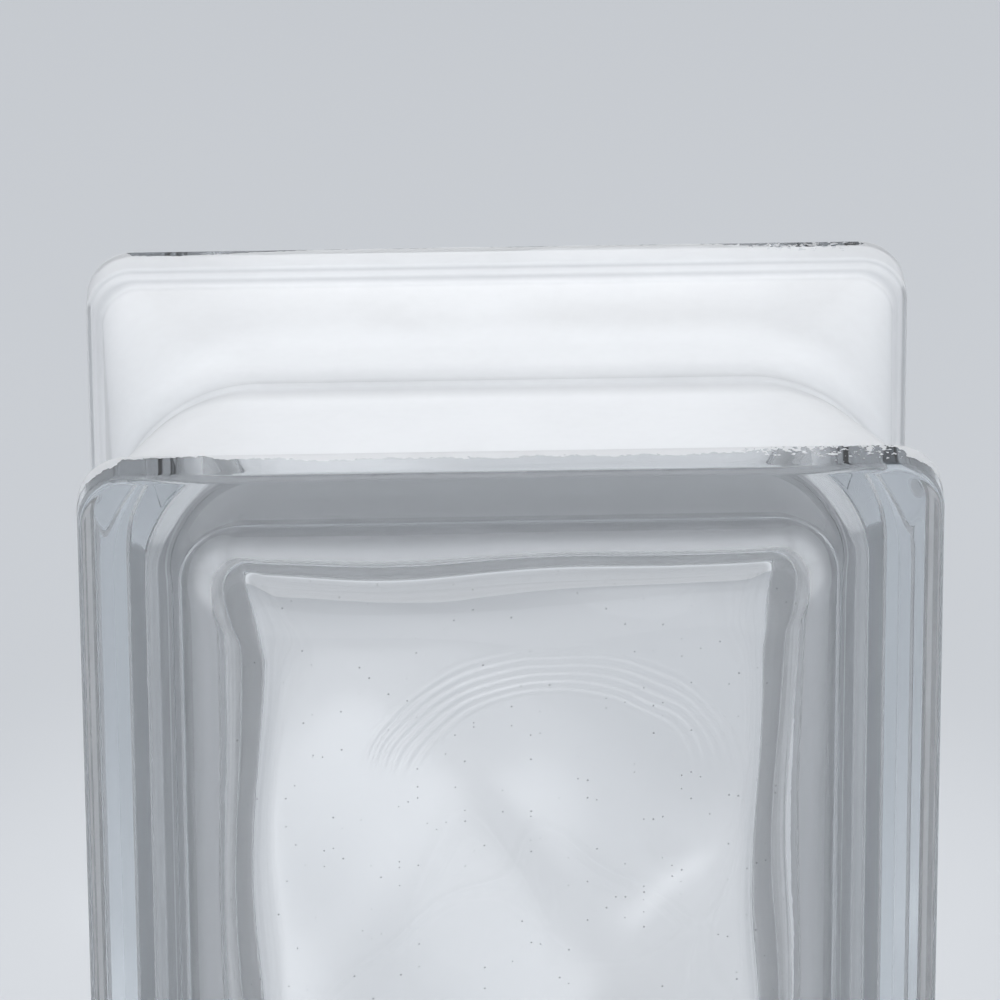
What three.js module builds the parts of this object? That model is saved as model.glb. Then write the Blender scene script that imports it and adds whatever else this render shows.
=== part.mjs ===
// Hollow pressed-glass block, standing upright on its short edge.
//
// The block is two identical rectangular trays of pressed glass, fused rim to rim on a seam in
// the middle of the depth.  Each tray has a thick pane with a smooth outer face and a cloudy,
// waved inner face, and four side walls.  Outside, a flange runs round each face, and between the
// two flanges lies the shallow mortar channel, whose corners grow rounder towards the seam.
// Inside, the fused rim is narrow, a steep bevel widens it into the drafted wall, and a fillet
// carries the wall into the pane; the hollow's corners grow sharper from the rim to the pane.
//
// Frame: millimetres, +Z up, the front face looks along -Y, and the origin is at the middle of
// the underside.  Every tray is one loft: a rounded-rectangle ring is carried along a profile
// that starts at the middle of the face, turns round the flange, runs down the channel to the
// seam, comes back up the inside of the wall and ends in the middle of the waved pane.

import * as THREE from 'three';

// ---- Overall sizes ----
const FACE_WIDTH = 146;
const FACE_HEIGHT = 197;
const BLOCK_DEPTH = 98;

// ---- Flange round each face ----
const FLANGE_CORNER_RADIUS = 8.5;
const FLANGE_WIDTH = 9;
const FACE_EDGE_RADIUS = 1.4;
const FLANGE_LIP_RADIUS = 0.8;

// ---- Mortar channel between the flanges ----
const CHANNEL_STEP = 2.9;
const STEP_RUN = 1.0;
const STEP_FOOT_RADIUS = 1.2;
const CHANNEL_CORNER_RADIUS = 7;
const SEAM_INSET = 5.3;
const SEAM_CORNER_RADIUS = 26;

// ---- Fused seam: a low bead that both trays share ----
const BEAD_HEIGHT = 0.4;
const BEAD_HALF_WIDTH = 1.2;

// ---- Hollow inside each tray ----
const RIM_WIDTH = 2.2;
const RIM_BEVEL_WIDTH = 3.5;
const RIM_BEVEL_DEPTH = 2.0;
const RIM_CORNER_TIGHTENING = 6;
const WALL_DRAFT = 5.7;
const FILLET_START = 27;
const FILLET_REACH = 17.5;
const PANE_THICKNESS = 7.7;
const WALL_CORNER_RADIUS = 11;
const PANE_CORNER_RADIUS = 4.5;

// ---- Waves pressed into the inner face of the pane ----
const SWELL_HEIGHT = 1.8;
const SWELL_LENGTH = 110;
const SWELL_DIRECTION = THREE.MathUtils.degToRad(54);
const SWELL_PHASE = THREE.MathUtils.degToRad(138);
const CLOUD_HEIGHT = 0.7;
const CLOUD_LENGTH = 53.4;
const CLOUD_DIRECTION = THREE.MathUtils.degToRad(23.5);
const CLOUD_PHASE = THREE.MathUtils.degToRad(171);
const CHOP_HEIGHT = 0.45;
const CHOP_LENGTH = 37.8;
const CHOP_DIRECTION = THREE.MathUtils.degToRad(-36);
const CHOP_PHASE = THREE.MathUtils.degToRad(140);
const WAVE_FADE_WIDTH = 20;

// ---- Fineness of the loft ----
const SIDE_STEPS = 14;
const CORNER_STEPS = 6;
const CHANNEL_RINGS = 4;
const BEVEL_RINGS = 2;
const WALL_RINGS = 3;
const FILLET_RINGS = 8;
const PANE_RINGS = 8;
const EDGE_ARC_STEPS = 3;

const HALF_DEPTH = BLOCK_DEPTH / 2;
const RIM_INSET = SEAM_INSET + RIM_WIDTH;
const RIM_CORNER_RADIUS = SEAM_CORNER_RADIUS - RIM_CORNER_TIGHTENING;
const WALL_INSET = RIM_INSET + RIM_BEVEL_WIDTH;
const FILLET_INSET = WALL_INSET + WALL_DRAFT;
const PANE_INSET = FILLET_INSET + FILLET_REACH;

// ---- Outlines ----

// A rounded rectangle centred on the face, as points that start at the lower right corner and
// run anticlockwise seen from the front.  Every ring has the same number of points.
function ringOutline(halfWidth, halfHeight, radius) {
  const corners = [
    { x: 1, z: -1, start: -Math.PI / 2 },
    { x: 1, z: 1, start: 0 },
    { x: -1, z: 1, start: Math.PI / 2 },
    { x: -1, z: -1, start: Math.PI },
  ];
  const arcs = corners.map((corner) => {
    const centreX = corner.x * (halfWidth - radius);
    const centreZ = corner.z * (halfHeight - radius);
    const points = [];
    for (let step = 0; step <= CORNER_STEPS; step += 1) {
      const angle = corner.start + (step / CORNER_STEPS) * (Math.PI / 2);
      const x = centreX + radius * Math.cos(angle);
      const z = centreZ + radius * Math.sin(angle);
      points.push(new THREE.Vector2(x, z));
    }
    return points;
  });
  const outline = [];
  arcs.forEach((arc, index) => {
    const next = arcs[(index + 1) % arcs.length][0];
    const last = arc[arc.length - 1];
    outline.push(...arc);
    for (let step = 1; step < SIDE_STEPS; step += 1) {
      outline.push(last.clone().lerp(next, step / SIDE_STEPS));
    }
  });
  return outline;
}

// One ring of the loft.  The inset is measured inwards from the flange's outer surface, and the
// depth backwards from the face.
function insetRing(depth, inset, radius) {
  const outline = ringOutline(FACE_WIDTH / 2 - inset, FACE_HEIGHT / 2 - inset, radius);
  return outline.map((point) => new THREE.Vector3(point.x, depth, point.y));
}

// ---- Outer profile: face edge, flange, step, channel, seam bead ----

// Drawn with the depth as x and the inset as y.
function outerProfile() {
  const profile = new THREE.Path();
  profile.moveTo(0, FACE_EDGE_RADIUS);
  const edge = FACE_EDGE_RADIUS;
  profile.absarc(edge, edge, edge, Math.PI, 1.5 * Math.PI, false);
  const lipCentre = FLANGE_WIDTH - FLANGE_LIP_RADIUS;
  profile.lineTo(lipCentre, 0);
  profile.absarc(lipCentre, FLANGE_LIP_RADIUS, FLANGE_LIP_RADIUS, -Math.PI / 2, 0, false);
  const footDepth = FLANGE_WIDTH + STEP_RUN;
  profile.lineTo(footDepth, CHANNEL_STEP - STEP_FOOT_RADIUS);
  profile.quadraticCurveTo(footDepth, CHANNEL_STEP, footDepth + STEP_FOOT_RADIUS, CHANNEL_STEP);
  return profile.getPoints(EDGE_ARC_STEPS);
}

// How far along the channel a depth lies, from 0 at the foot of the step to 1 at the seam.
function channelShare(depth) {
  const foot = FLANGE_WIDTH + STEP_RUN + STEP_FOOT_RADIUS;
  return THREE.MathUtils.clamp((depth - foot) / (HALF_DEPTH - foot), 0, 1);
}

// Corner radius of an outer ring: the flange's own radius less the inset on the flange, then a
// steady growth from the foot of the step to the seam.
function outerCornerRadius(depth, inset) {
  if (depth <= FLANGE_WIDTH) {
    return FLANGE_CORNER_RADIUS - inset;
  }
  return THREE.MathUtils.lerp(CHANNEL_CORNER_RADIUS, SEAM_CORNER_RADIUS, channelShare(depth));
}

function outerRings() {
  const rings = outerProfile().map((point) => {
    return insetRing(point.x, point.y, outerCornerRadius(point.x, point.y));
  });
  const foot = FLANGE_WIDTH + STEP_RUN + STEP_FOOT_RADIUS;
  const beadStart = HALF_DEPTH - BEAD_HALF_WIDTH;
  for (let step = 1; step <= CHANNEL_RINGS; step += 1) {
    const share = step / CHANNEL_RINGS;
    const depth = THREE.MathUtils.lerp(foot, beadStart, share);
    const inset = THREE.MathUtils.lerp(CHANNEL_STEP, SEAM_INSET, share);
    rings.push(insetRing(depth, inset, outerCornerRadius(depth, inset)));
  }
  const crestInset = SEAM_INSET - BEAD_HEIGHT;
  rings.push(insetRing(HALF_DEPTH - BEAD_HALF_WIDTH / 3, crestInset, SEAM_CORNER_RADIUS));
  rings.push(insetRing(HALF_DEPTH, crestInset, SEAM_CORNER_RADIUS));
  return rings;
}

// ---- Waves of the pane ----

// One straight ripple, whose direction is the angle from +X towards +Z in which it runs.
function ripple(x, z, height, length, direction, phase) {
  const along = x * Math.cos(direction) + z * Math.sin(direction);
  return height * Math.sin((2 * Math.PI * along) / length + phase);
}

// Soft clouds: a long, a middling and a short ripple that cross each other.
function waveRise(x, z) {
  const swell = ripple(x, z, SWELL_HEIGHT, SWELL_LENGTH, SWELL_DIRECTION, SWELL_PHASE);
  const cloud = ripple(x, z, CLOUD_HEIGHT, CLOUD_LENGTH, CLOUD_DIRECTION, CLOUD_PHASE);
  const chop = ripple(x, z, CHOP_HEIGHT, CHOP_LENGTH, CHOP_DIRECTION, CHOP_PHASE);
  return swell + cloud + chop;
}

// The waves die out over the fillet, so that the side walls stay plain.
function waveShare(inset) {
  return THREE.MathUtils.smoothstep(inset, PANE_INSET - WAVE_FADE_WIDTH, PANE_INSET);
}

function withWaves(ring, share) {
  return ring.map((point) => {
    const rise = share * waveRise(point.x, point.z);
    return new THREE.Vector3(point.x, point.y + rise, point.z);
  });
}

// ---- Inner profile: rim bevel, drafted wall, fillet, waved pane ----

// Steep bevel from the fused rim to the start of the wall.
function bevelRings() {
  const rings = [];
  for (let step = 0; step < BEVEL_RINGS; step += 1) {
    const share = step / BEVEL_RINGS;
    const depth = HALF_DEPTH - RIM_BEVEL_DEPTH * share;
    rings.push(insetRing(depth, RIM_INSET + RIM_BEVEL_WIDTH * share, RIM_CORNER_RADIUS));
  }
  return rings;
}

// Drafted wall, with corners that grow sharper on the way to the fillet.
function wallRings() {
  const rings = [];
  for (let step = 0; step <= WALL_RINGS; step += 1) {
    const share = step / WALL_RINGS;
    const depth = THREE.MathUtils.lerp(HALF_DEPTH - RIM_BEVEL_DEPTH, FILLET_START, share);
    const inset = WALL_INSET + WALL_DRAFT * share;
    const radius = THREE.MathUtils.lerp(RIM_CORNER_RADIUS, WALL_CORNER_RADIUS, share);
    rings.push(withWaves(insetRing(depth, inset, radius), waveShare(inset)));
  }
  return rings;
}

// Quarter of an ellipse from the end of the wall to the edge of the pane.
function filletRings() {
  const rings = [];
  for (let step = 1; step <= FILLET_RINGS; step += 1) {
    const angle = (step / FILLET_RINGS) * (Math.PI / 2);
    const inwards = 1 - Math.cos(angle);
    const inset = FILLET_INSET + FILLET_REACH * inwards;
    const depth = THREE.MathUtils.lerp(FILLET_START, PANE_THICKNESS, Math.sin(angle));
    const radius = THREE.MathUtils.lerp(WALL_CORNER_RADIUS, PANE_CORNER_RADIUS, inwards);
    rings.push(withWaves(insetRing(depth, inset, radius), waveShare(inset)));
  }
  return rings;
}

// The pane's rings are copies of the fillet's last ring, shrunk towards the middle.
function paneRings() {
  const plain = insetRing(PANE_THICKNESS, PANE_INSET, PANE_CORNER_RADIUS);
  const rings = [];
  for (let step = 1; step < PANE_RINGS; step += 1) {
    const size = 1 - step / PANE_RINGS;
    const shrunk = plain.map((point) => new THREE.Vector3(point.x * size, point.y, point.z * size));
    rings.push(withWaves(shrunk, 1));
  }
  return rings;
}

// ---- Loft ----

// Joins the rings by quads and closes both ends with a fan to its middle point.
function loftGeometry(rings, firstMiddle, lastMiddle) {
  const count = rings[0].length;
  const positions = [];
  rings.forEach((ring) => ring.forEach((point) => positions.push(point.x, point.y, point.z)));
  const firstIndex = rings.length * count;
  const lastIndex = firstIndex + 1;
  positions.push(firstMiddle.x, firstMiddle.y, firstMiddle.z);
  positions.push(lastMiddle.x, lastMiddle.y, lastMiddle.z);
  const faces = [];
  for (let along = 0; along < count; along += 1) {
    const next = (along + 1) % count;
    faces.push(firstIndex, along, next);
    const lastRing = (rings.length - 1) * count;
    faces.push(lastIndex, lastRing + next, lastRing + along);
    for (let row = 0; row < rings.length - 1; row += 1) {
      const near = row * count;
      const far = near + count;
      faces.push(near + along, far + along, far + next);
      faces.push(near + along, far + next, near + next);
    }
  }
  const geometry = new THREE.BufferGeometry();
  geometry.setAttribute('position', new THREE.Float32BufferAttribute(positions, 3));
  geometry.setIndex(faces);
  geometry.computeVertexNormals();
  return geometry;
}

function trayGeometry() {
  const hollow = [...bevelRings(), ...wallRings(), ...filletRings(), ...paneRings()];
  const rings = [...outerRings(), ...hollow];
  const faceMiddle = new THREE.Vector3(0, 0, 0);
  const paneMiddle = new THREE.Vector3(0, PANE_THICKNESS + waveRise(0, 0), 0);
  const geometry = loftGeometry(rings, faceMiddle, paneMiddle);
  geometry.translate(0, -HALF_DEPTH, FACE_HEIGHT / 2);
  return geometry;
}

// ---- Assembly ----

function glassMaterial() {
  return new THREE.MeshStandardMaterial({ color: 0xcdd8d6, roughness: 0.06, metalness: 0 });
}

// Both trays are the same pressing: the back one is turned half round about the upright axis.
function tray(name, turn) {
  const mesh = new THREE.Mesh(trayGeometry(), glassMaterial());
  mesh.name = name;
  mesh.rotation.z = turn;
  return mesh;
}

const block = new THREE.Group();
block.add(tray('front_half', 0));
block.add(tray('back_half', Math.PI));

export default block;
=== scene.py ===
"""Hollow pressed-glass block: two fused trays with cloudy waves and a white coat on the edges.

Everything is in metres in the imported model's frame: +Z up, the front face looks along -Y, and
the origin is in the middle of the underside.
"""
import math

import bpy
import mathutils
import numpy as np
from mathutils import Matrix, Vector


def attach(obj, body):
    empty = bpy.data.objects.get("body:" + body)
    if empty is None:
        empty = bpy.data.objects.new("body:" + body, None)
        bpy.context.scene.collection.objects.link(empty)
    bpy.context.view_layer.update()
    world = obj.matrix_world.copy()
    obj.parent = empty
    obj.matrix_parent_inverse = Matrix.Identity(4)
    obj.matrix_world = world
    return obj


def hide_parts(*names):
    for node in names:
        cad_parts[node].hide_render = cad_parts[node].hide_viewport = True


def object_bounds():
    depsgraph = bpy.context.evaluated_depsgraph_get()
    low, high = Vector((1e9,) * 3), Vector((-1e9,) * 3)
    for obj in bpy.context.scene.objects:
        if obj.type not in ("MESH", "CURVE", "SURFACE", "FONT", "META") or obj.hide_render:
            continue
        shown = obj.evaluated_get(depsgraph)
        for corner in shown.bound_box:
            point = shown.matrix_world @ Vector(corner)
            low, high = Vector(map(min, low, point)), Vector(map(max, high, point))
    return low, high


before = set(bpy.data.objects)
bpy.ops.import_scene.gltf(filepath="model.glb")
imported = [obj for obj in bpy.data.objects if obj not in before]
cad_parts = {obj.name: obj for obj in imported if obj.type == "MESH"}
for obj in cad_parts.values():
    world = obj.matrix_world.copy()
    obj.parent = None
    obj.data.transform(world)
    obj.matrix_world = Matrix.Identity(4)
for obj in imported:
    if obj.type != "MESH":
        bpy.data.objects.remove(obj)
CAD_LOW, CAD_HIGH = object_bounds()

MM = 0.001

# ---- Sizes of the block, in metres, the same as the solids have ----
FACE_WIDTH = CAD_HIGH.x - CAD_LOW.x
FACE_HEIGHT = CAD_HIGH.z - CAD_LOW.z
BLOCK_DEPTH = CAD_HIGH.y - CAD_LOW.y
HALF_DEPTH = BLOCK_DEPTH / 2

FLANGE_CORNER_RADIUS = 8.5 * MM
FLANGE_WIDTH = 9 * MM
FACE_EDGE_RADIUS = 1.4 * MM
FLANGE_LIP_RADIUS = 0.8 * MM

CHANNEL_STEP = 2.9 * MM
STEP_RUN = 1.0 * MM
STEP_FOOT_RADIUS = 1.2 * MM
CHANNEL_CORNER_RADIUS = 7 * MM
SEAM_INSET = 5.3 * MM
SEAM_CORNER_RADIUS = 26 * MM

BEAD_HEIGHT = 0.4 * MM
BEAD_HALF_WIDTH = 1.2 * MM

RIM_WIDTH = 2.2 * MM
RIM_BEVEL_WIDTH = 3.5 * MM
RIM_BEVEL_DEPTH = 2.0 * MM
RIM_CORNER_TIGHTENING = 6 * MM
WALL_DRAFT = 5.7 * MM
FILLET_START = 27 * MM
FILLET_REACH = 17.5 * MM
PANE_THICKNESS = 7.7 * MM
WALL_CORNER_RADIUS = 11 * MM
PANE_CORNER_RADIUS = 4.5 * MM

SWELL_HEIGHT = 1.8 * MM
SWELL_LENGTH = 110 * MM
SWELL_DIRECTION = math.radians(54)
SWELL_PHASE = math.radians(138)
CLOUD_HEIGHT = 0.7 * MM
CLOUD_LENGTH = 53.4 * MM
CLOUD_DIRECTION = math.radians(23.5)
CLOUD_PHASE = math.radians(171)
CHOP_HEIGHT = 0.45 * MM
CHOP_LENGTH = 37.8 * MM
CHOP_DIRECTION = math.radians(-36)
CHOP_PHASE = math.radians(140)
WAVE_FADE_WIDTH = 20 * MM

RIM_INSET = SEAM_INSET + RIM_WIDTH
RIM_CORNER_RADIUS = SEAM_CORNER_RADIUS - RIM_CORNER_TIGHTENING
WALL_INSET = RIM_INSET + RIM_BEVEL_WIDTH
FILLET_INSET = WALL_INSET + WALL_DRAFT
PANE_INSET = FILLET_INSET + FILLET_REACH

# ---- Coat on the edges ----
COAT_SINK = 0.02 * MM    # how far the film lies inside the block's outline
COAT_GAP = 0.08 * MM     # between the film and the glass, so the two surfaces never touch
COAT_START = 1.0 * MM    # depth behind each face where the coat's film starts
FRONT_COATED_START = 9.0 * MM   # depth from which the glass under it is taken as painted
BACK_COATED_START = 3.0 * MM

# ---- Fineness of the rings and of the profiles that carry them ----
CORNER_STEPS = 18
SIDE_STEPS = 32
FACE_STEPS = 13
EDGE_STEPS = 8
FLANGE_STEPS = 8
LIP_STEPS = 6
STEP_STEPS = 4
FOOT_STEPS = 6
CHANNEL_STEPS = 24
BEAD_STEPS = 6
BEVEL_STEPS = 6
WALL_STEPS = 16
FILLET_STEPS = 30
PANE_STEPS = 40
TINT_SHELL_STRIDE = 2    # the tint's shells use every second ring


# ================= Shapes =================

def smooth(value, low, high):
    """Eased step: 0 below low, 1 above high, and 3t^2 - 2t^3 between them."""
    t = np.clip((value - low) / (high - low), 0.0, 1.0)
    return t * t * (3.0 - 2.0 * t)


def steps(count):
    """Even shares from 0 to 1, both ends included, as count + 1 values."""
    return np.linspace(0, 1, count + 1)


def ring_directions():
    """Places round a rounded rectangle, as two arrays of N pairs.

    The first says where a point's centre lies on the core rectangle, from -1 to 1 each way, and
    the second is its outward direction, so a point is core * (half size - radius) + radius * out.
    """
    core, out = [], []
    signs = [(1, -1), (1, 1), (-1, 1), (-1, -1)]
    for index, (sx, sz) in enumerate(signs):
        angle = math.radians(90 * index - 90) + math.pi / 2 * steps(CORNER_STEPS)
        core.append(np.tile([sx, sz], (CORNER_STEPS + 1, 1)))
        out.append(np.stack([np.cos(angle), np.sin(angle)], 1))
        nx, nz = signs[(index + 1) % 4]
        share = steps(SIDE_STEPS)[1:-1, None]
        core.append((1 - share) * np.array([sx, sz]) + share * np.array([nx, nz]))
        out.append(np.tile([np.cos(angle[-1]), np.sin(angle[-1])], (SIDE_STEPS - 1, 1)))
    return np.concatenate(core), np.concatenate(out)


CORE, OUT = ring_directions()


def inset_rings(depth, inset, radius):
    """Rings of the front tray, as rows of points: each is the face's outline moved inwards by
    its inset, with its own corner radius, at its depth behind the front face."""
    half = np.array([FACE_WIDTH, FACE_HEIGHT]) / 2 - inset[:, None]
    flat = CORE[None] * (half - radius[:, None])[:, None] + OUT[None] * radius[:, None, None]
    y = np.broadcast_to((depth - HALF_DEPTH)[:, None], flat.shape[:2])
    return np.stack([flat[..., 0], y, flat[..., 1] + FACE_HEIGHT / 2], -1)


def quarter(radius, count):
    """Rise and run of a quarter circle: radius * (1 - cos a) and radius * (1 - sin a)."""
    angle = math.pi / 2 * steps(count)
    return radius * (1 - np.cos(angle)), radius * (1 - np.sin(angle))


def outer_profile():
    """Depth and inset down the outside of a tray: rounded face edge, flange, lip, step, foot,
    channel and half of the seam bead, each a straight line or a quarter circle."""
    edge_depth, edge_inset = quarter(FACE_EDGE_RADIUS, EDGE_STEPS)
    lip_inset, lip_back = quarter(FLANGE_LIP_RADIUS, LIP_STEPS)
    foot_rise, foot_run = quarter(STEP_FOOT_RADIUS, FOOT_STEPS)
    flange_end = FLANGE_WIDTH - FLANGE_LIP_RADIUS
    flange_depth = np.linspace(FACE_EDGE_RADIUS, flange_end, FLANGE_STEPS + 1)[1:-1]
    step_share = steps(STEP_STEPS)[1:-1]
    step_top = FLANGE_LIP_RADIUS
    step_low = CHANNEL_STEP - STEP_FOOT_RADIUS
    foot_depth = FLANGE_WIDTH + STEP_RUN
    channel = steps(CHANNEL_STEPS)[1:]
    channel_start = foot_depth + STEP_FOOT_RADIUS
    bead = steps(BEAD_STEPS)[1:]
    bead_start = HALF_DEPTH - BEAD_HALF_WIDTH
    depth = np.concatenate([
        edge_depth,
        flange_depth,
        FLANGE_WIDTH - lip_back,
        FLANGE_WIDTH + STEP_RUN * step_share,
        foot_depth + foot_rise,
        channel_start + (bead_start - channel_start) * channel,
        bead_start + BEAD_HALF_WIDTH * bead,
    ])
    inset = np.concatenate([
        edge_inset,
        0 * flange_depth,
        lip_inset,
        step_top + (step_low - step_top) * step_share,
        CHANNEL_STEP - foot_run,
        CHANNEL_STEP + (SEAM_INSET - CHANNEL_STEP) * channel,
        SEAM_INSET - BEAD_HEIGHT * np.sin(bead * math.pi / 2),
    ])
    return depth, inset


def outer_corner_radius(depth, inset):
    """The flange keeps its own corner less the inset; behind it the corner radius grows evenly
    from the foot of the step to the seam."""
    foot = FLANGE_WIDTH + STEP_RUN + STEP_FOOT_RADIUS
    share = np.clip((depth - foot) / (HALF_DEPTH - foot), 0, 1)
    channel = CHANNEL_CORNER_RADIUS + (SEAM_CORNER_RADIUS - CHANNEL_CORNER_RADIUS) * share
    step = np.clip((depth - FLANGE_WIDTH) / STEP_RUN, 0, 1)
    flange = FLANGE_CORNER_RADIUS - inset
    return np.where(depth <= FLANGE_WIDTH, flange, (1 - step) * flange + step * channel)


def ripple(x, z, height, length, direction, phase):
    """Straight ripple: height * sin(2 pi * (x cos d + z sin d) / length + phase)."""
    along = x * math.cos(direction) + z * math.sin(direction)
    return height * np.sin(2 * math.pi * along / length + phase)


def wave_rise(x, z):
    """Cloudy waves: the sum of three straight ripples that cross, a long, a middling and a
    short one."""
    swell = ripple(x, z, SWELL_HEIGHT, SWELL_LENGTH, SWELL_DIRECTION, SWELL_PHASE)
    cloud = ripple(x, z, CLOUD_HEIGHT, CLOUD_LENGTH, CLOUD_DIRECTION, CLOUD_PHASE)
    chop = ripple(x, z, CHOP_HEIGHT, CHOP_LENGTH, CHOP_DIRECTION, CHOP_PHASE)
    return swell + cloud + chop


def with_waves(rings, share, side):
    """Moves ring points along the depth by the wave's rise times each ring's share.  The back
    tray is the front one turned half round, so its waves are read at -x."""
    z = rings[..., 2] - FACE_HEIGHT / 2
    rise = wave_rise(side * rings[..., 0], z)
    moved = rings.copy()
    moved[..., 1] += share[:, None] * rise
    return moved


def hollow_rings(side):
    """Inside of a tray from the rim to the middle of the pane: a drafted wall, a quarter-ellipse
    fillet, and a pane whose rings are copies of the fillet's last ring, shrunk to the middle."""
    bevel = steps(BEVEL_STEPS)
    wall = steps(WALL_STEPS)[1:]
    angle = math.pi / 2 * steps(FILLET_STEPS)[1:]
    wall_start = HALF_DEPTH - RIM_BEVEL_DEPTH
    depth = np.concatenate([
        HALF_DEPTH - RIM_BEVEL_DEPTH * bevel,
        wall_start + (FILLET_START - wall_start) * wall,
        PANE_THICKNESS + (FILLET_START - PANE_THICKNESS) * (1 - np.sin(angle)),
    ])
    inset = np.concatenate([
        RIM_INSET + RIM_BEVEL_WIDTH * bevel,
        WALL_INSET + WALL_DRAFT * wall,
        FILLET_INSET + FILLET_REACH * (1 - np.cos(angle)),
    ])
    radius = np.concatenate([
        RIM_CORNER_RADIUS + 0 * bevel,
        RIM_CORNER_RADIUS + (WALL_CORNER_RADIUS - RIM_CORNER_RADIUS) * wall,
        WALL_CORNER_RADIUS + (PANE_CORNER_RADIUS - WALL_CORNER_RADIUS) * (1 - np.cos(angle)),
    ])
    sides = inset_rings(depth, inset, radius)
    sides = with_waves(sides, smooth(inset, PANE_INSET - WAVE_FADE_WIDTH, PANE_INSET), side)
    size = 1 - steps(PANE_STEPS)[1:-1]
    last = inset_rings(np.array([PANE_THICKNESS]), np.array([PANE_INSET]),
                       np.array([PANE_CORNER_RADIUS]))
    middle = np.array([0, last[0, 0, 1], FACE_HEIGHT / 2])
    pane = middle + (last - middle) * size[:, None, None]
    pane = with_waves(pane, np.ones(len(size)), side)
    return np.concatenate([sides, pane])


def face_rings():
    """Flat face from its middle out to the start of the rounded edge, as shrunk outlines."""
    size = steps(FACE_STEPS)[1:-1]
    rim = inset_rings(np.array([0.0]), np.array([FACE_EDGE_RADIUS]),
                      np.array([FLANGE_CORNER_RADIUS - FACE_EDGE_RADIUS]))
    middle = np.array([0, -HALF_DEPTH, FACE_HEIGHT / 2])
    return middle + (rim - middle) * size[:, None, None]


def to_back(rings):
    """The same rings on the back tray: the depth changes sign and the order is turned round."""
    back = rings[::-1].copy()
    back[..., 1] *= -1
    return back


def quads_between(rows, count):
    """Faces between neighbouring rings: each point, the one behind it, and their followers."""
    here = np.arange(count)
    following = (here + 1) % count
    row = (np.arange(rows - 1) * count)[:, None]
    next_row = row + count
    corners = [row + here, next_row + here, next_row + following, row + following]
    return np.stack(corners, -1).reshape(-1, 4)


def lofted(rings, outwards):
    """Vertices and faces of a closed shell: quads between neighbouring rings, and a fan of
    triangles to a middle point at each end."""
    rows, count = rings.shape[:2]
    vertices = np.concatenate([rings.reshape(-1, 3), [rings[0].mean(0), rings[-1].mean(0)]])
    quads = quads_between(rows, count)
    here = np.arange(count)
    following = (here + 1) % count
    near = np.stack([np.full(count, rows * count), here, following], -1)
    end = (rows - 1) * count
    far = np.stack([np.full(count, rows * count + 1), end + following, end + here], -1)
    if not outwards:
        quads, near, far = quads[:, ::-1], near[:, ::-1], far[:, ::-1]
    return vertices, [quads, near, far]


def mesh_object(name, parts):
    """One smooth-shaded object from several (vertices, face arrays) parts."""
    vertices, faces, start = [], [], 0
    for part_vertices, part_faces in parts:
        vertices.append(part_vertices)
        faces += [(block + start).tolist() for block in part_faces]
        start += len(part_vertices)
    mesh = bpy.data.meshes.new(name)
    polygons = [face for block in faces for face in block]
    mesh.from_pydata(np.concatenate(vertices), [], polygons)
    mesh.polygons.foreach_set("use_smooth", np.ones(len(mesh.polygons), bool))
    mesh.update()
    piece = bpy.data.objects.new(name, mesh)
    bpy.context.scene.collection.objects.link(piece)
    return piece


def outer_shell():
    """Whole outside: front face, front tray's side, seam, back tray's side, back face."""
    depth, inset = outer_profile()
    under = COAT_SINK + COAT_GAP
    side = inset_rings(depth, inset + under, outer_corner_radius(depth, inset) - under)
    front = np.concatenate([face_rings(), side])
    return np.concatenate([front, to_back(front)[1:]])


def hollow_shell():
    """Whole inside: front pane, front wall, seam, back wall, back pane."""
    front = hollow_rings(1)[::-1]
    back = to_back(hollow_rings(-1)[::-1])
    return np.concatenate([front, back[1:]])


def coat_film():
    """The coat as one open film: the outer profile from flange to flange, as quads between
    neighbouring rings."""
    depth, inset = outer_profile()
    kept = depth >= COAT_START
    depth = np.concatenate([depth[kept], 2 * HALF_DEPTH - depth[kept][-2::-1]])
    inset = np.concatenate([inset[kept], inset[kept][-2::-1]]) + COAT_SINK
    folded = np.minimum(depth, 2 * HALF_DEPTH - depth)
    rings = inset_rings(depth, inset, outer_corner_radius(folded, inset) - COAT_SINK)
    return rings.reshape(-1, 3), [quads_between(*rings.shape[:2])]


def scaled(rings, size):
    """Rings moved towards or away from the middle of the block by one factor."""
    middle = np.array([0, 0, FACE_HEIGHT / 2])
    return middle + (rings - middle) * size


# ================= Looks =================

# ---- Glass ----
GLASS_IOR = 1.52
GLASS_ABSORB = (0.62, 0.675, 0.717, 1)
GLASS_ABSORB_DENSITY = 10.0
TINT_SHELL_SHRINK = 0.002
RELIEF_UNIT = 0.001      # the glass's relief is given in millimetres

DRAW_LINE_SCALE = 600.0  # lines a metre across the wall
DRAW_LINE_STRETCH = 0.05
SMEAR_SCALE = 35.0
SMEAR_RANGE = (0.5, 0.8)

# ---- Chill ripples and seeds on the inner face of the front pane ----
RIPPLE_CENTRE = (7.4 * MM, 135 * MM)
RIPPLE_SQUASH = (0.9, 1.12)      # the arcs are wider than they are high
RIPPLE_INNER = 20 * MM
RIPPLE_OUTER = 32 * MM
RIPPLE_EDGE = 3 * MM
RIPPLE_LENGTH = 1.7 * MM
RIPPLE_WANDER = 1.6 * MM
RIPPLE_WANDER_SCALE = 60.0
RIPPLE_RISE = (0.0, 10 * MM)     # height above the centre over which the arcs come in
RIPPLE_FADE_SCALE = 45.0
RIPPLE_FADE_RANGE = (0.05, 0.35)
SEED_CELLS = 620.0               # cells a metre, of which a few hold a seed
SEED_RARITY = 0.86
SEED_EDGE = 0.06 * MM
SEED_DARKNESS = 0.65

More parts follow.
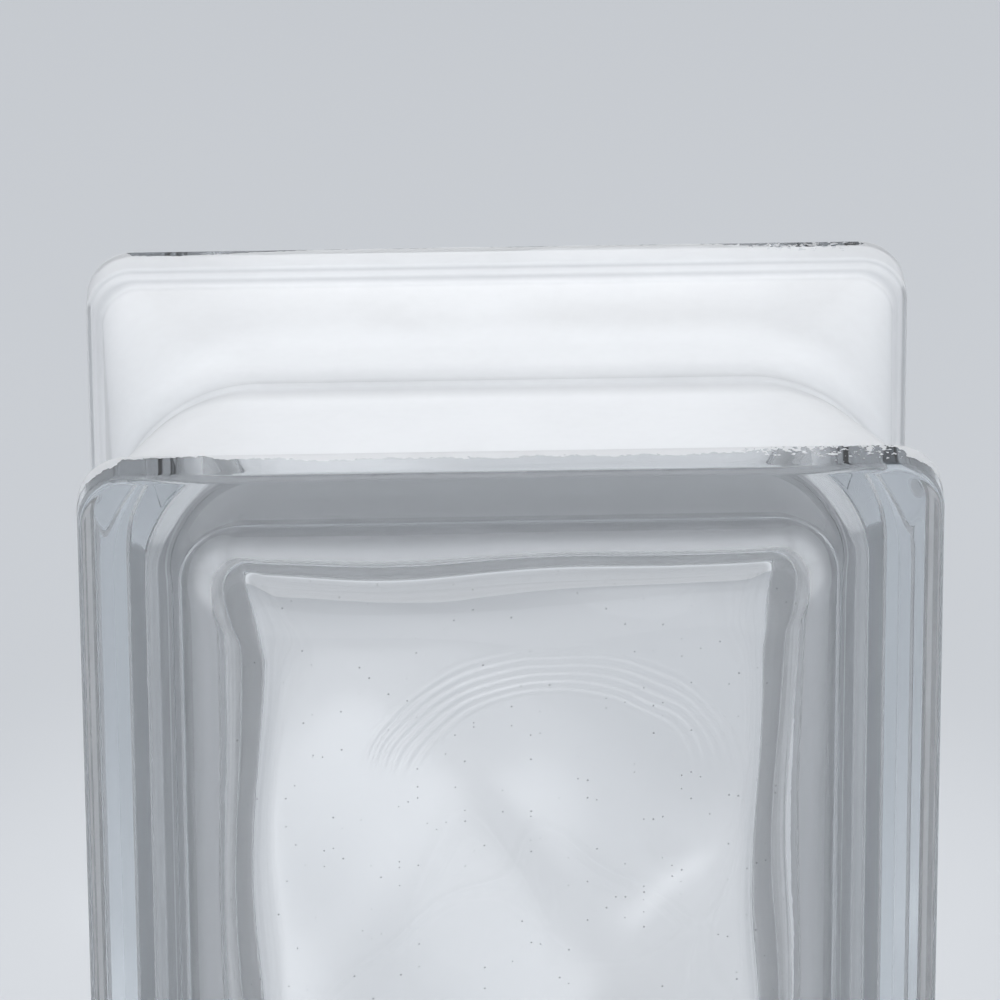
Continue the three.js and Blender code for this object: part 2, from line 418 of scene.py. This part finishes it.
# ---- Coat ----
PAINT_IOR = 1.445
COAT_COLOUR = (0.98, 0.98, 0.985, 1)
COAT_CLEARNESS = 0.54
COAT_ROUGHNESS = 0.6
COAT_ROUGHNESS_CHANGE = 0.06
BRUSH_RELIEF = 0.015 * MM        # height of the brush marks

COAT_EDGE = 0.06 * MM            # softness of the coat's torn edge
CORNER_SPAN = (30 * MM, 55 * MM)         # from the middle, where the coat draws back
WORN_SPAN = (36 * MM, 56 * MM)           # towards the right-hand corner, where it is worn
SIDE_SPAN = (FACE_WIDTH / 2 - 8.5 * MM, FACE_WIDTH / 2 - 6 * MM)
SEAM_THIN_SPAN = (8.5 * MM, 2 * MM)      # from the seam, where the coat is thin
FLANGE_THIN_SPAN = (12.5 * MM, 8.5 * MM)     # behind the face, where it is thin
# painted shade: the coat's colour is darkened along the seam groove and at the foot of the step
SEAM_SHADE_SPAN = (4.2 * MM, 0.6 * MM)
FOOT_SHADE_SPAN = (HALF_DEPTH - 12.8 * MM, HALF_DEPTH - 10.2 * MM)
FOOT_SHADE_SHARE = 0.6
SHADE_PATCH_RANGE = (0.2, 0.75)
WANDER_SCALE = 130.0
FRAY_SCALE = 1100.0
LEAST_FRAY = 0.7
WORN_FRAY = 8.5
BACK_CALM = 0.6          # the coat's line is this much calmer on the back tray
MOTTLE_SCALE = 55.0
SHADE_PATCH_SCALE = 60.0
SPECKLE_SCALE = 500.0
SPECKLE_SHARE = 0.6
BRUSH_SCALE = 900.0
BRUSH_STRETCH = (0.12, 1.0, 0.12)
BRUSH_SHARE = 0.7
GRIT_SCALE = 1500.0
GRIT_SHARE = 0.12

# ---- Floor, backdrop and light ----
FLOOR_HALF = 6.0
FLOOR_COLOUR = (0.485, 0.495, 0.51)
FLOOR_ROUGHNESS = 0.7
FLOOR_PATCH_SCALE = 3.0
FLOOR_UNEVENNESS = 0.02
WORLD_STRENGTH = 1.0
SKY_COLOUR = (0.93, 0.96, 1.0, 1)
BACKDROP_COLOUR = (0.55, 0.57, 0.6, 1)
BACKDROP_BEHIND = (0.35, 0.75)   # how far a direction points backwards as the backdrop comes in
BACKDROP_LOW = (0.95, 0.75)      # how far it points upwards, likewise
OVERHEAD_POWER = 11.8
OVERHEAD_PLACE = (0.0, -0.1, 1.6)
OVERHEAD_AIM = (0.0, 0.0, 0.1)
OVERHEAD_SIZE = (1.4, 0.4)
GLASS_BOUNCES = 16
CLEAR_BOUNCES = 32       # passes through faces that are fully clear
POOL_LAMP_HEIGHT = 0.8
POOL_LAMP_SIZE = 0.014
# x, y, radius and power of the pools of light on the floor behind the block: a wide one, and
# the small ones that the block's waves gather
FLOOR_POOLS = [
    (0.0, 0.13, 0.185, 6.7),
    (-0.024, 0.126, 0.036, 8.5),
    (-0.045, 0.172, 0.036, 7.5),
    (0.029, 0.201, 0.018, 8.5),
]

# ---- Camera ----
SENSOR_WIDTH = 36.0
FRAME_PIXELS = 1000
FOCAL_PIXELS = 8194
PITCH = math.radians(24.63)
YAW = math.radians(1.40)
ROLL = math.radians(-0.33)
DISTANCE = 1.37322
TARGET = np.array([-1.91 * MM, -HALF_DEPTH, FACE_HEIGHT - 5.24 * MM])
FAR_CLIP = 50


# ================= Shader nodes =================

FLOAT = "NodeSocketFloat"
VECTOR = "NodeSocketVector"
COLOUR = "NodeSocketColor"


class Graph:
    """Shader nodes of one tree, each joined to what feeds it as it is made.  An operand is a
    socket or a plain value."""

    def __init__(self, tree):
        self.nodes = tree.nodes
        self.links = tree.links

    def feed(self, operand, socket):
        if isinstance(operand, bpy.types.NodeSocket):
            self.links.new(operand, socket)
        else:
            socket.default_value = operand

    def maths(self, operation, *operands):
        node = self.nodes.new("ShaderNodeMath")
        node.operation = operation
        for operand, socket in zip(operands, node.inputs):
            self.feed(operand, socket)
        return node.outputs[0]

    def add(self, first, second):
        return self.maths("ADD", first, second)

    def minus(self, first, second):
        return self.maths("SUBTRACT", first, second)

    def times(self, first, *others):
        for other in others:
            first = self.maths("MULTIPLY", first, other)
        return first

    def size(self, value):
        return self.maths("ABSOLUTE", value)

    def vector_maths(self, operation, first, second):
        node = self.nodes.new("ShaderNodeVectorMath")
        node.operation = operation
        self.feed(first, node.inputs[0])
        self.feed(second, node.inputs["Scale" if operation == "SCALE" else 1])
        return node.outputs[0]

    def length(self, vector):
        node = self.nodes.new("ShaderNodeVectorMath")
        node.operation = "LENGTH"
        self.links.new(vector, node.inputs[0])
        return node.outputs["Value"]

    def split(self, vector):
        node = self.nodes.new("ShaderNodeSeparateXYZ")
        self.links.new(vector, node.inputs[0])
        return node.outputs

    def flat(self, x, y):
        """Vector from two values, with nothing on Z."""
        node = self.nodes.new("ShaderNodeCombineXYZ")
        self.links.new(x, node.inputs["X"])
        self.links.new(y, node.inputs["Y"])
        return node.outputs[0]

    def eased(self, value, low, high):
        """Smooth step of a value, from 0 at low to 1 at high."""
        node = self.nodes.new("ShaderNodeMapRange")
        node.interpolation_type = "SMOOTHSTEP"
        node.inputs["From Min"].default_value = low
        node.inputs["From Max"].default_value = high
        self.links.new(value, node.inputs["Value"])
        return node.outputs["Result"]

    def noise(self, place, scale, detail):
        """Noise from 0 to 1, at a scale in features per metre."""
        node = self.nodes.new("ShaderNodeTexNoise")
        node.inputs["Scale"].default_value = scale
        node.inputs["Detail"].default_value = detail
        self.links.new(place, node.inputs["Vector"])
        return node.outputs["Fac"]

    def signed_noise(self, place, scale, detail, size=1.0):
        """Noise from minus size to plus size."""
        return self.times(self.minus(self.noise(place, scale, detail), 0.5), 2 * size)


def new_group(name, inputs, outputs):
    """Node group with named sockets: inputs are (name, socket type, default) and outputs are
    (name, socket type)."""
    group = bpy.data.node_groups.new(name, "ShaderNodeTree")
    for label, kind, default in inputs:
        socket = group.interface.new_socket(label, in_out="INPUT", socket_type=kind)
        if default is not None:
            socket.default_value = default
    for label, kind in outputs:
        group.interface.new_socket(label, in_out="OUTPUT", socket_type=kind)
    start = group.nodes.new("NodeGroupInput")
    end = group.nodes.new("NodeGroupOutput")
    return group, Graph(group), start.outputs, end.inputs


# ================= Shader groups =================

def drawn_skin_group():
    """Skin of the pressed glass: faint lines drawn down the sides of the mould, which follow
    the border, as a height in millimetres, and soft smears of roughness."""
    group, graph, given, result = new_group(
        "drawn_skin",
        [("Place", VECTOR, None), ("Draw Lines", FLOAT, 0.0012), ("Smears", FLOAT, 0.02)],
        [("Height", FLOAT), ("Roughness", FLOAT)])
    x, _, z = graph.split(given["Place"])
    from_side = graph.minus(FACE_WIDTH / 2, graph.size(x))
    from_end = graph.minus(FACE_HEIGHT / 2, graph.size(graph.minus(z, FACE_HEIGHT / 2)))
    inset = graph.maths("MINIMUM", from_side, from_end)
    along = graph.times(graph.add(x, z), DRAW_LINE_STRETCH)
    lines = graph.noise(graph.flat(inset, along), DRAW_LINE_SCALE, 1.0)
    graph.feed(graph.times(lines, given["Draw Lines"]), result["Height"])
    smear = graph.eased(graph.noise(given["Place"], SMEAR_SCALE, 1.0), *SMEAR_RANGE)
    graph.feed(graph.times(smear, given["Smears"]), result["Roughness"])
    return group


def chill_ripples(graph, place, flat):
    """Arcs of fine ripples: a train of waves in the distance from a centre, with a little
    wander, inside a ring and above the centre."""
    from_centre = graph.vector_maths("SUBTRACT", flat, (*RIPPLE_CENTRE, 0.0))
    squashed = graph.vector_maths("MULTIPLY", from_centre, (*RIPPLE_SQUASH, 1.0))
    wander = graph.signed_noise(place, RIPPLE_WANDER_SCALE, 1.0, RIPPLE_WANDER)
    radius = graph.add(graph.length(squashed), wander)
    train = graph.maths("SINE", graph.times(radius, 2 * math.pi / RIPPLE_LENGTH))
    outer = graph.eased(radius, RIPPLE_OUTER, RIPPLE_OUTER - RIPPLE_EDGE)
    inner = graph.eased(radius, RIPPLE_INNER, RIPPLE_INNER + RIPPLE_EDGE)
    above = graph.eased(graph.split(squashed)[1], *RIPPLE_RISE)
    fade = graph.eased(graph.noise(place, RIPPLE_FADE_SCALE, 0.0), *RIPPLE_FADE_RANGE)
    return graph.times(train, graph.times(outer, inner, above), fade)


def seed_mask(graph, flat, seed_size):
    """Round specks of up to one size, one at the middle of each chosen cell."""
    cells = graph.nodes.new("ShaderNodeTexVoronoi")
    cells.voronoi_dimensions = "2D"
    cells.inputs["Scale"].default_value = SEED_CELLS
    graph.feed(flat, cells.inputs["Vector"])
    distance = graph.maths("DIVIDE", cells.outputs["Distance"], SEED_CELLS)
    pick = graph.nodes.new("ShaderNodeSeparateColor")
    graph.feed(cells.outputs["Color"], pick.inputs[0])
    size = graph.times(graph.eased(pick.outputs[0], SEED_RARITY, 1.0), seed_size)
    return graph.eased(graph.minus(size, distance), 0.0, SEED_EDGE)


def chill_marks_group():
    """Marks on the inner face of the front pane: arcs of fine chill ripples, as a height in
    millimetres, and dark seeds, which are small bubbles and dust, as a tone."""
    group, graph, given, result = new_group(
        "chill_marks",
        [("Place", VECTOR, None), ("Chilled", FLOAT, 0.0), ("Ripple", FLOAT, 0.04),
         ("Seed Size", FLOAT, 0.00022)],
        [("Height", FLOAT), ("Colour", COLOUR)])
    x, _, z = graph.split(given["Place"])
    flat = graph.flat(x, z)
    ripples = chill_ripples(graph, given["Place"], flat)
    graph.feed(graph.times(ripples, given["Ripple"], given["Chilled"]), result["Height"])
    seeds = seed_mask(graph, flat, given["Seed Size"])
    clear = graph.minus(1.0, graph.times(seeds, given["Chilled"], SEED_DARKNESS))
    grey = graph.nodes.new("ShaderNodeCombineColor")
    for channel in grey.inputs[:3]:
        graph.feed(clear, channel)
    graph.feed(grey.outputs[0], result["Colour"])
    return group


def ragged_coat_group():
    """Cover of the coat, 1 where it lies and 0 where the glass is bare: it starts at a ragged
    line behind each face, which frays into specks towards the worn side, and it is a little
    thin along the seam and on the flanges."""
    group, graph, given, result = new_group(
        "ragged_coat",
        [("Place", VECTOR, None), ("Front Start", FLOAT, 0.0060), ("Back Start", FLOAT, 0.0013),
         ("Corner Setback", FLOAT, 0.0017), ("Side Reach", FLOAT, 0.0030),
         ("Raggedness", FLOAT, 0.0016), ("Wear", FLOAT, 1.0),
         ("Thin Seam", FLOAT, 0.2), ("Thin Flange", FLOAT, 0.08), ("Thin Back", FLOAT, 0.3)],
        [("Cover", FLOAT)])
    x, y, _ = graph.split(given["Place"])
    from_seam = graph.size(y)
    depth = graph.minus(HALF_DEPTH, from_seam)
    at_back = graph.maths("GREATER_THAN", y, 0.0)
    across = graph.size(x)
    at_corner = graph.eased(across, *CORNER_SPAN)
    at_side = graph.eased(across, *SIDE_SPAN)

    further = graph.minus(given["Back Start"], given["Front Start"])
    start = graph.add(given["Front Start"], graph.times(further, at_back))
    start = graph.add(start, graph.times(at_corner, given["Corner Setback"]))
    start = graph.minus(start, graph.times(at_side, given["Side Reach"]))

    worn = graph.times(graph.eased(x, *WORN_SPAN), graph.minus(1.0, at_side), given["Wear"])
    fray = graph.add(graph.times(worn, WORN_FRAY), LEAST_FRAY)
    wander = graph.signed_noise(given["Place"], WANDER_SCALE, 1.0)
    frayed = graph.signed_noise(given["Place"], FRAY_SCALE, 2.0)
    ragged = graph.add(wander, graph.times(frayed, fray))
    calm = graph.minus(1.0, graph.times(at_back, BACK_CALM))
    line = graph.times(ragged, calm, given["Raggedness"])
    past = graph.minus(graph.add(depth, line), start)
    covered = graph.eased(past, -COAT_EDGE, COAT_EDGE)

    at_seam = graph.eased(from_seam, *SEAM_THIN_SPAN)
    at_flange = graph.eased(depth, *FLANGE_THIN_SPAN)
    flange_thinning = graph.add(given["Thin Flange"], graph.times(at_back, given["Thin Back"]))
    thin = graph.add(graph.times(at_seam, given["Thin Seam"]),
                     graph.times(at_flange, flange_thinning))
    graph.feed(graph.times(covered, graph.minus(1.0, thin)), result["Cover"])
    return group


def coat_surface_group():
    """Tone and relief of the brushed coat: soft mottles, painted shade in uneven patches along
    the seam groove and at the foot of the step, faint brush streaks that run round the block, and
    fine grit."""
    group, graph, given, result = new_group(
        "coat_surface",
        [("Place", VECTOR, None), ("Base Colour", COLOUR, None), ("Mottle", FLOAT, 0.045),
         ("Seam Shade", FLOAT, 0.1)],
        [("Colour", COLOUR), ("Roughness", FLOAT), ("Height", FLOAT)])
    place = given["Place"]
    from_seam = graph.size(graph.split(place)[1])
    # painted shade: the coat is drawn darker in uneven patches along the seam groove and at the
    # foot of the step
    uneven = graph.eased(graph.noise(place, SHADE_PATCH_SCALE, 2.0), *SHADE_PATCH_RANGE)
    seam_shade = graph.times(graph.eased(from_seam, *SEAM_SHADE_SPAN), uneven,
                             given["Seam Shade"])
    foot_shade = graph.times(graph.eased(from_seam, *FOOT_SHADE_SPAN), uneven,
                             given["Seam Shade"], FOOT_SHADE_SHARE)
    cloudy = graph.signed_noise(place, MOTTLE_SCALE, 2.0)
    speckle = graph.signed_noise(place, SPECKLE_SCALE, 1.0, SPECKLE_SHARE)
    mottle = graph.times(graph.add(cloudy, speckle), given["Mottle"])
    light = graph.minus(graph.minus(graph.add(mottle, 1.0), seam_shade), foot_shade)
    graph.feed(graph.vector_maths("SCALE", given["Base Colour"], light), result["Colour"])

    stretched = graph.vector_maths("MULTIPLY", place, BRUSH_STRETCH)
    streaks = graph.times(graph.noise(stretched, BRUSH_SCALE, 1.0), BRUSH_SHARE)
    grit = graph.times(graph.noise(place, GRIT_SCALE, 0.0), GRIT_SHARE)
    graph.feed(graph.add(streaks, grit), result["Height"])
    roughness = graph.add(graph.times(speckle, COAT_ROUGHNESS_CHANGE), COAT_ROUGHNESS)
    graph.feed(roughness, result["Roughness"])
    return group


# ================= Materials =================

DRAWN_SKIN = drawn_skin_group()
CHILL_MARKS = chill_marks_group()
COAT_SURFACE = coat_surface_group()
RAGGED_COAT = ragged_coat_group()


def new_material(name):
    """Empty material, with its graph and its Principled shader's inputs."""
    material = bpy.data.materials.new(name)
    material.use_nodes = True
    graph = Graph(material.node_tree)
    return material, graph, graph.nodes["Principled BSDF"].inputs


def object_place(graph):
    return graph.nodes.new("ShaderNodeTexCoord").outputs["Object"]


def use_group(graph, group):
    """A group node that is fed with the object's own coordinates."""
    node = graph.nodes.new("ShaderNodeGroup")
    node.node_tree = group
    graph.feed(object_place(graph), node.inputs["Place"])
    return node.inputs, node.outputs


def relief(graph, height, distance):
    """Normal of a surface raised by a height times a distance."""
    bump = graph.nodes.new("ShaderNodeBump")
    bump.inputs["Strength"].default_value = 1.0
    bump.inputs["Distance"].default_value = distance
    graph.feed(height, bump.inputs["Height"])
    return bump.outputs["Normal"]


def skinned_glass(name, ior):
    """Clear glass with the drawn skin's relief and its faint smears."""
    material, graph, shader = new_material(name)
    shader["Base Color"].default_value = (1, 1, 1, 1)
    shader["IOR"].default_value = ior
    shader["Transmission Weight"].default_value = 1.0
    _, skin = use_group(graph, DRAWN_SKIN)
    graph.feed(skin["Roughness"], shader["Roughness"])
    graph.feed(relief(graph, skin["Height"], RELIEF_UNIT), shader["Normal"])
    return material


def glass_material():
    return skinned_glass("clear_pressed_glass", GLASS_IOR)


def coated_glass_material():
    """Glass that touches the coat: light crosses from glass to paint, so only grazing rays are
    thrown back."""
    return skinned_glass("glass_under_the_coat", GLASS_IOR / PAINT_IOR)


def chilled_pane_material():
    """Inner face of the front pane: the same glass with chill ripples and seeds."""
    material, graph, shader = new_material("chilled_pane_glass")
    shader["IOR"].default_value = GLASS_IOR
    shader["Transmission Weight"].default_value = 1.0
    shader["Roughness"].default_value = 0.0
    chilled = graph.nodes.new("ShaderNodeAttribute")
    chilled.attribute_name = "chilled"
    wanted, marks = use_group(graph, CHILL_MARKS)
    graph.feed(chilled.outputs["Fac"], wanted["Chilled"])
    graph.feed(marks["Colour"], shader["Base Color"])
    graph.feed(relief(graph, marks["Height"], RELIEF_UNIT), shader["Normal"])
    return material


def depth_tint_material():
    """Clear shell just inside the glass that holds what the glass soaks up along the way."""
    material, graph, shader = new_material("glass_depth_tint")
    shader["Alpha"].default_value = 0.0
    absorb = graph.nodes.new("ShaderNodeVolumeAbsorption")
    absorb.inputs["Color"].default_value = GLASS_ABSORB
    absorb.inputs["Density"].default_value = GLASS_ABSORB_DENSITY
    graph.feed(absorb.outputs["Volume"], graph.nodes["Material Output"].inputs["Volume"])
    return material


def coat_material():
    """Thin white brushed coat: it lets some light through, and it is ragged and chipped."""
    material, graph, shader = new_material("white_edge_coat")
    shader["Transmission Weight"].default_value = COAT_CLEARNESS
    wanted, surface = use_group(graph, COAT_SURFACE)
    wanted["Base Colour"].default_value = COAT_COLOUR
    graph.feed(surface["Colour"], shader["Base Color"])
    graph.feed(surface["Roughness"], shader["Roughness"])
    graph.feed(relief(graph, surface["Height"], BRUSH_RELIEF), shader["Normal"])
    _, ragged = use_group(graph, RAGGED_COAT)
    graph.feed(ragged["Cover"], shader["Alpha"])
    return material


def floor_material():
    """Pale matt floor with a very faint unevenness."""
    material, graph, shader = new_material("pale_floor")
    shader["Roughness"].default_value = FLOOR_ROUGHNESS
    uneven = graph.signed_noise(object_place(graph), FLOOR_PATCH_SCALE, 2.0, FLOOR_UNEVENNESS)
    tone = graph.vector_maths("SCALE", FLOOR_COLOUR, graph.add(uneven, 1.0))
    graph.feed(tone, shader["Base Color"])
    return material


# ================= Pieces =================

CLEAR, COATED, TINT, CHILLED = range(4)      # material places on the glass


def border_inset(x, z):
    """Distance inwards from the nearest side of the face."""
    from_side = FACE_WIDTH / 2 - np.abs(x)
    from_end = FACE_HEIGHT / 2 - np.abs(z - FACE_HEIGHT / 2)
    return np.minimum(from_side, from_end)


def read_places(items, name):
    """Coordinates of a mesh's vertices or faces, as three arrays."""
    flat = np.empty(len(items) * 3)
    items.foreach_get(name, flat)
    return flat.reshape(-1, 3).T


def mark_faces(mesh, outside_count, glass_count):
    """Gives each face its material: the coated glass where the outer shell lies deeper than
    the coat's start behind both faces, the chilled glass on the inner face of the front pane,
    the tint on its own shells, and the clear glass elsewhere."""
    x, y, z = read_places(mesh.polygons, "center")
    start = np.where(y < 0, FRONT_COATED_START, BACK_COATED_START)
    index = np.where(np.abs(y) < HALF_DEPTH - start, COATED, CLEAR)
    on_pane = (border_inset(x, z) > FILLET_INSET) & (y < FILLET_START - HALF_DEPTH)
    index[outside_count:] = np.where(on_pane[outside_count:], CHILLED, CLEAR)
    index[glass_count:] = TINT
    mesh.polygons.foreach_set("material_index", index.astype(np.int32))
    mesh.update()


def mark_pane(mesh, outside_points):
    """Writes a number on each point: "chilled" is 1 on the inner face of the front pane and
    fades out towards the border."""
    x, y, z = read_places(mesh.vertices, "co")
    over_pane = smooth(border_inset(x, z), FILLET_INSET, PANE_INSET)
    inner = (np.arange(len(y)) >= outside_points) & (y < FILLET_START - HALF_DEPTH)
    layer = mesh.attributes.new("chilled", "FLOAT", "POINT")
    layer.data.foreach_set("value", (over_pane * inner).astype(np.float32))


def face_count(*shells):
    return sum(len(block) for _, blocks in shells for block in blocks)


def tint_shell(rings, size, outwards):
    """Every second ring of a shell, moved a hair into the glass."""
    return lofted(scaled(rings[::TINT_SHELL_STRIDE], size), outwards)


def make_glass():
    outside = lofted(outer_shell(), True)
    inside = lofted(hollow_shell(), False)
    tint_outside = tint_shell(outer_shell(), 1 - TINT_SHELL_SHRINK, True)
    tint_inside = tint_shell(hollow_shell(), 1 + TINT_SHELL_SHRINK, False)
    glass = mesh_object("glass_body", [outside, inside, tint_outside, tint_inside])
    for make_material in (glass_material, coated_glass_material, depth_tint_material,
                          chilled_pane_material):
        glass.data.materials.append(make_material())
    mark_faces(glass.data, face_count(outside), face_count(outside, inside))
    mark_pane(glass.data, len(outside[0]))
    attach(glass, "root")
    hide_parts("front_half", "back_half")


def make_coat():
    coat = mesh_object("edge_coat", [coat_film()])
    coat.data.materials.append(coat_material())
    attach(coat, "root")


# ================= Floor, light and camera =================

def make_floor():
    low = CAD_LOW.z
    mesh = bpy.data.meshes.new("floor")
    corners = [(x * FLOOR_HALF, y * FLOOR_HALF, low) for x, y in
               ((-1, -1), (1, -1), (1, 1), (-1, 1))]
    mesh.from_pydata(corners, [], [(0, 1, 2, 3)])
    floor = bpy.data.objects.new("floor", mesh)
    bpy.context.scene.collection.objects.link(floor)
    mesh.materials.append(floor_material())


def make_sky():
    """Even white light all round, with a greyer backdrop low down behind the block."""
    world = bpy.data.worlds.new("soft_studio")
    bpy.context.scene.world = world
    world.use_nodes = True
    graph = Graph(world.node_tree)
    background = graph.nodes["Background"].inputs
    background["Strength"].default_value = WORLD_STRENGTH
    place = graph.nodes.new("ShaderNodeTexCoord").outputs["Generated"]
    _, y, z = graph.split(place)
    share = graph.times(graph.eased(y, *BACKDROP_BEHIND), graph.eased(z, *BACKDROP_LOW))
    tone = graph.nodes.new("ShaderNodeMix")
    tone.data_type = "RGBA"
    tone.inputs["A"].default_value = SKY_COLOUR
    tone.inputs["B"].default_value = BACKDROP_COLOUR
    graph.feed(share, tone.inputs["Factor"])
    graph.feed(tone.outputs["Result"], background["Color"])


def add_lamp(name, light, place):
    """A lamp that only lights: it isn't seen in the glass or through it."""
    lamp = bpy.data.objects.new(name, light)
    bpy.context.scene.collection.objects.link(lamp)
    lamp.visible_glossy = False
    lamp.visible_transmission = False
    lamp.location = place
    return lamp


def overhead_lamp():
    """A wide soft rectangle of light above the block."""
    light = bpy.data.lights.new("overhead", "AREA")
    light.shape = "RECTANGLE"
    light.size, light.size_y = OVERHEAD_SIZE
    light.energy = OVERHEAD_POWER
    lamp = add_lamp("overhead", light, OVERHEAD_PLACE)
    direction = mathutils.Vector(OVERHEAD_AIM) - mathutils.Vector(OVERHEAD_PLACE)
    lamp.rotation_euler = direction.to_track_quat("-Z", "Y").to_euler()


def floor_pool(x, y, radius, power):
    """A soft round pool of light on the floor, thrown straight down by a spot lamp."""
    light = bpy.data.lights.new("floor_pool", "SPOT")
    light.energy = power
    light.spot_size = 2 * math.atan(radius / POOL_LAMP_HEIGHT)
    light.spot_blend = 1.0
    light.shadow_soft_size = POOL_LAMP_SIZE
    add_lamp("floor_pool", light, (x, y, POOL_LAMP_HEIGHT))


def make_camera():
    """Camera that looks at the target from the given distance, pitched down, turned to the
    right and rolled."""
    forward = np.array([math.sin(YAW) * math.cos(PITCH), math.cos(YAW) * math.cos(PITCH),
                        -math.sin(PITCH)])
    level = np.array([math.cos(YAW), -math.sin(YAW), 0.0])
    up = np.cross(level, forward)
    right = math.cos(ROLL) * level + math.sin(ROLL) * up
    top = -math.sin(ROLL) * level + math.cos(ROLL) * up
    place = TARGET - forward * DISTANCE
    data = bpy.data.cameras.new("camera")
    data.sensor_width = SENSOR_WIDTH
    data.lens = FOCAL_PIXELS * SENSOR_WIDTH / FRAME_PIXELS
    data.clip_end = FAR_CLIP
    camera = bpy.data.objects.new("camera", data)
    bpy.context.scene.collection.objects.link(camera)
    columns = np.column_stack([right, top, -forward, place])
    camera.matrix_world = mathutils.Matrix([*columns.tolist(), [0, 0, 0, 1]])
    bpy.context.scene.camera = camera


make_glass()
make_coat()
make_floor()
make_sky()
overhead_lamp()
for pool in FLOOR_POOLS:
    floor_pool(*pool)
make_camera()
bpy.context.scene.view_settings.view_transform = "Standard"
cycles = bpy.context.scene.cycles
cycles.max_bounces = GLASS_BOUNCES
cycles.transmission_bounces = GLASS_BOUNCES
cycles.transparent_max_bounces = CLEAR_BOUNCES
